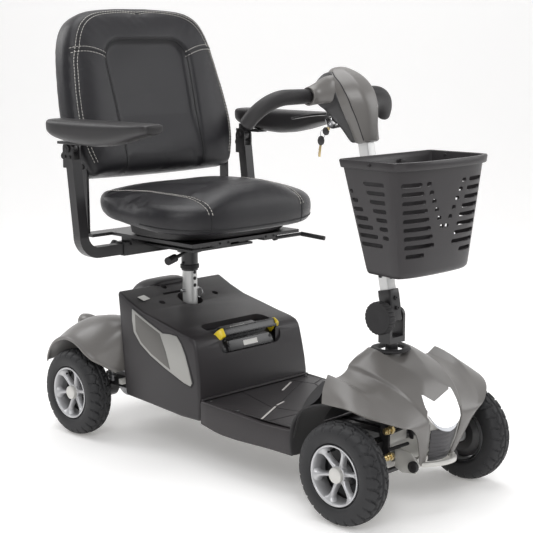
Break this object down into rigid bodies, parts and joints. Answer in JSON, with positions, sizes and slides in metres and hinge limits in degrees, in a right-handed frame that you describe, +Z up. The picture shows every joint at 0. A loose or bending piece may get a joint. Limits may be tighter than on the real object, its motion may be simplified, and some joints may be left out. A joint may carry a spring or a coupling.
{
  "type": "mobility scooter",
  "caption": "Four-wheel portable mobility scooter with swivel seat, flip-up armrests, lift-out battery, tilting tiller and front basket.",
  "frame": {"origin": "on the floor, in the middle of the wheelbase and of the track", "axes": "+Z up, -Y forwards (direction of travel), +X to the rider's left"},
  "size_m": [0.6174, 1.06, 0.9791],
  "materials": {
    "frame_black": "satin",
    "beam_silver": "satin",
    "zinc_yellow": "satin",
    "bracket_silver": "satin",
    "deck_plastic": "satin",
    "deck_mat": "matte",
    "shroud_charcoal": "satin",
    "panel_silver": "satin",
    "fender_grey": "satin",
    "hood_grey": "satin",
    "liner_black": "matte",
    "lens": "gloss",
    "grille_dark": "satin",
    "gearbox": "satin",
    "motor_black": "satin",
    "post_silver": "satin",
    "bearing_steel": "polished",
    "battery_black": "satin",
    "tyre_rubber": "matte",
    "rim_silver": "satin",
    "axle_steel": "satin",
    "knuckle_black": "matte",
    "rod_steel": "satin",
    "stem_black": "satin",
    "knob_black": "matte",
    "shaft_silver": "satin",
    "basket_plastic": "satin",
    "head_grey": "satin",
    "console_black": "satin",
    "grip_foam": "matte",
    "lever_black": "satin",
    "key_metal": "polished",
    "dial_black": "satin",
    "button_red": "satin",
    "vinyl_black": "satin",
    "pad_black": "satin"
  },
  "bodies": {
    "chassis": {"rear_frame": "frame_black", "front_frame": "frame_black", "axle_beam": "beam_silver", "axle_pins": "zinc_yellow", "bumper_bracket": "bracket_silver", "deck_pan": "deck_plastic", "deck_mat": "deck_mat", "rear_shroud": "shroud_charcoal", "side_panels": "panel_silver", "rear_fender_right": "fender_grey", "rear_fender_left": "fender_grey", "rear_cover": "shroud_charcoal", "front_shroud": "hood_grey", "arch_liners": "liner_black", "headlight": "lens", "front_grille": "grille_dark", "transaxle": "gearbox", "drive_motor": "motor_black", "seat_post_lower": "post_silver", "steering_bearings": "bearing_steel"},
    "battery": {"battery_box": "battery_black"},
    "steering": {"steering_stem": "stem_black"},
    "tilt_knob": {"tilt_knob": "knob_black"},
    "tiller": {"tiller_shaft": "shaft_silver", "basket": "basket_plastic", "tiller_head": "head_grey", "tiller_console": "console_black", "handlebar": "grip_foam"},
    "wigwag": {"wigwag_lever": "lever_black"},
    "key": {"key": "key_metal"},
    "speed_dial": {"speed_dial": "dial_black"},
    "horn_button": {"horn_button": "button_red"},
    "seat_post": {"seat_post_upper": "stem_black"},
    "seat_base": {"swivel_base": "frame_black"},
    "swivel_lever": {"swivel_lever": "lever_black"},
    "seat": {"seat_rails": "frame_black", "seat_cushion": "vinyl_black"},
    "slide_lever": {"slide_lever": "lever_black"},
    "backrest": {"backrest_cushion": "vinyl_black", "backrest_hinge": "frame_black"},
    "knuckle_right": {"knuckle_right": "knuckle_black"},
    "track_rod_right": {"track_rod_right": "rod_steel"},
    "wheel_front_right": {"tyre_front_right": "tyre_rubber", "rim_front_right": "rim_silver"},
    "wheel_rear_right": {"tyre_rear_right": "tyre_rubber", "rim_rear_right": "rim_silver", "rear_axle_right": "axle_steel"},
    "knuckle_left": {"knuckle_left": "knuckle_black"},
    "track_rod_left": {"track_rod_left": "rod_steel"},
    "wheel_front_left": {"tyre_front_left": "tyre_rubber", "rim_front_left": "rim_silver"},
    "wheel_rear_left": {"tyre_rear_left": "tyre_rubber", "rim_rear_left": "rim_silver", "rear_axle_left": "axle_steel"},
    "arm_tube_right": {"armrest_tube_right": "frame_black"},
    "armrest_right": {"armrest_pad_right": "pad_black"},
    "width_knob_right": {"width_knob_right": "knob_black"},
    "arm_tube_left": {"armrest_tube_left": "frame_black"},
    "armrest_left": {"armrest_pad_left": "pad_black"},
    "width_knob_left": {"width_knob_left": "knob_black"}
  },
  "joints": [
    {"name": "battery_lift", "type": "slide", "parent": "chassis", "child": "battery", "axis": [0, 0, 1], "range_m": [0, 0.15]},
    {"name": "steer", "type": "hinge", "parent": "chassis", "child": "steering", "pos_m": [0, -0.37, 0.2], "axis": [0, 0, 1], "range_deg": [-30, 30]},
    {"name": "steer_right", "type": "hinge", "parent": "chassis", "child": "knuckle_right", "pos_m": [-0.128, -0.414, 0.1], "axis": [0, 0, 1], "range_deg": [-30, 30]},
    {"name": "track_rod_pivot_right", "type": "hinge", "parent": "steering", "child": "track_rod_right", "pos_m": [-0.014, -0.325, 0.091], "axis": [0, 0, 1], "range_deg": [-30, 30]},
    {"name": "wheel_front_right_spin", "type": "hinge", "parent": "knuckle_right", "child": "wheel_front_right", "pos_m": [-0.189, -0.414, 0.1], "axis": [1, 0, 0], "continuous": true},
    {"name": "wheel_rear_right_spin", "type": "hinge", "parent": "chassis", "child": "wheel_rear_right", "pos_m": [-0.189, 0.414, 0.1], "axis": [1, 0, 0], "continuous": true},
    {"name": "steer_left", "type": "hinge", "parent": "chassis", "child": "knuckle_left", "pos_m": [0.128, -0.414, 0.1], "axis": [0, 0, 1], "range_deg": [-30, 30]},
    {"name": "track_rod_pivot_left", "type": "hinge", "parent": "steering", "child": "track_rod_left", "pos_m": [0.014, -0.325, 0.091], "axis": [0, 0, 1], "range_deg": [-30, 30]},
    {"name": "wheel_front_left_spin", "type": "hinge", "parent": "knuckle_left", "child": "wheel_front_left", "pos_m": [0.189, -0.414, 0.1], "axis": [1, 0, 0], "continuous": true},
    {"name": "wheel_rear_left_spin", "type": "hinge", "parent": "chassis", "child": "wheel_rear_left", "pos_m": [0.189, 0.414, 0.1], "axis": [1, 0, 0], "continuous": true},
    {"name": "tiller_tilt", "type": "hinge", "parent": "steering", "child": "tiller", "pos_m": [0, -0.37, 0.367], "axis": [1, 0, 0], "range_deg": [-12, 15]},
    {"name": "tilt_knob_turn", "type": "hinge", "parent": "steering", "child": "tilt_knob", "pos_m": [-0.036, -0.37, 0.367], "axis": [1, 0, 0], "range_deg": [-180, 180]},
    {"name": "wigwag_turn", "type": "hinge", "parent": "tiller", "child": "wigwag", "pos_m": [0, -0.20804, 0.75378], "axis": [0, 0.2079, 0.9781], "range_deg": [-12, 12], "stiffness_Nm_per_rad": 0.6},
    {"name": "key_turn", "type": "hinge", "parent": "tiller", "child": "key", "pos_m": [-0.024, -0.23526, 0.74116], "axis": [0, -0.7431, 0.6691], "range_deg": [0, 90]},
    {"name": "speed_dial_turn", "type": "hinge", "parent": "tiller", "child": "speed_dial", "pos_m": [0.02, -0.20689, 0.81692], "axis": [0, 0.2079, 0.9781], "range_deg": [-135, 135]},
    {"name": "horn_press", "type": "slide", "parent": "tiller", "child": "horn_button", "axis": [0, -0.2079, -0.9781], "range_m": [0, 0.002], "stiffness_N_per_m": 300},
    {"name": "seat_height", "type": "slide", "parent": "chassis", "child": "seat_post", "axis": [0, 0, 1], "range_m": [0, 0.05]},
    {"name": "seat_swivel", "type": "hinge", "parent": "seat_post", "child": "seat_base", "pos_m": [0, 0.232, 0.43], "axis": [0, 0, 1], "range_deg": [0, 360]},
    {"name": "swivel_lever_lift", "type": "hinge", "parent": "seat_base", "child": "swivel_lever", "pos_m": [-0.036, 0.192, 0.437], "axis": [0, 1, 0], "range_deg": [0, 8], "stiffness_Nm_per_rad": 0.8, "springref_deg": -8.59},
    {"name": "seat_slide", "type": "slide", "parent": "seat_base", "child": "seat", "axis": [0, 1, 0], "range_m": [0, 0.08]},
    {"name": "slide_lever_lift", "type": "hinge", "parent": "seat", "child": "slide_lever", "pos_m": [0.14, 0.06, 0.464], "axis": [-1, 0, 0], "range_deg": [0, 10], "stiffness_Nm_per_rad": 0.8, "springref_deg": -8.59},
    {"name": "backrest_fold", "type": "hinge", "parent": "seat", "child": "backrest", "pos_m": [0, 0.34, 0.628], "axis": [1, 0, 0], "range_deg": [0, 85]},
    {"name": "arm_width_right", "type": "slide", "parent": "seat", "child": "arm_tube_right", "axis": [-1, 0, 0], "range_m": [0, 0.05]},
    {"name": "arm_flip_right", "type": "hinge", "parent": "arm_tube_right", "child": "armrest_right", "pos_m": [-0.256, 0.32, 0.672], "axis": [-0.999, -0.0436, 0], "range_deg": [0, 90]},
    {"name": "width_knob_turn_right", "type": "hinge", "parent": "seat", "child": "width_knob_right", "pos_m": [-0.136, 0.32, 0.443], "axis": [0, 1, 0], "range_deg": [-180, 180]},
    {"name": "arm_width_left", "type": "slide", "parent": "seat", "child": "arm_tube_left", "axis": [1, 0, 0], "range_m": [0, 0.05]},
    {"name": "arm_flip_left", "type": "hinge", "parent": "arm_tube_left", "child": "armrest_left", "pos_m": [0.256, 0.32, 0.672], "axis": [-0.999, 0.0436, 0], "range_deg": [0, 90]},
    {"name": "width_knob_turn_left", "type": "hinge", "parent": "seat", "child": "width_knob_left", "pos_m": [0.136, 0.32, 0.443], "axis": [0, 1, 0], "range_deg": [-180, 180]}
  ],
  "couplings": [
    {"joint": "steer_right", "follows": "steer", "ratio": 1},
    {"joint": "track_rod_pivot_right", "follows": "steer", "ratio": -1},
    {"joint": "steer_left", "follows": "steer", "ratio": 1},
    {"joint": "track_rod_pivot_left", "follows": "steer", "ratio": -1}
  ]
}
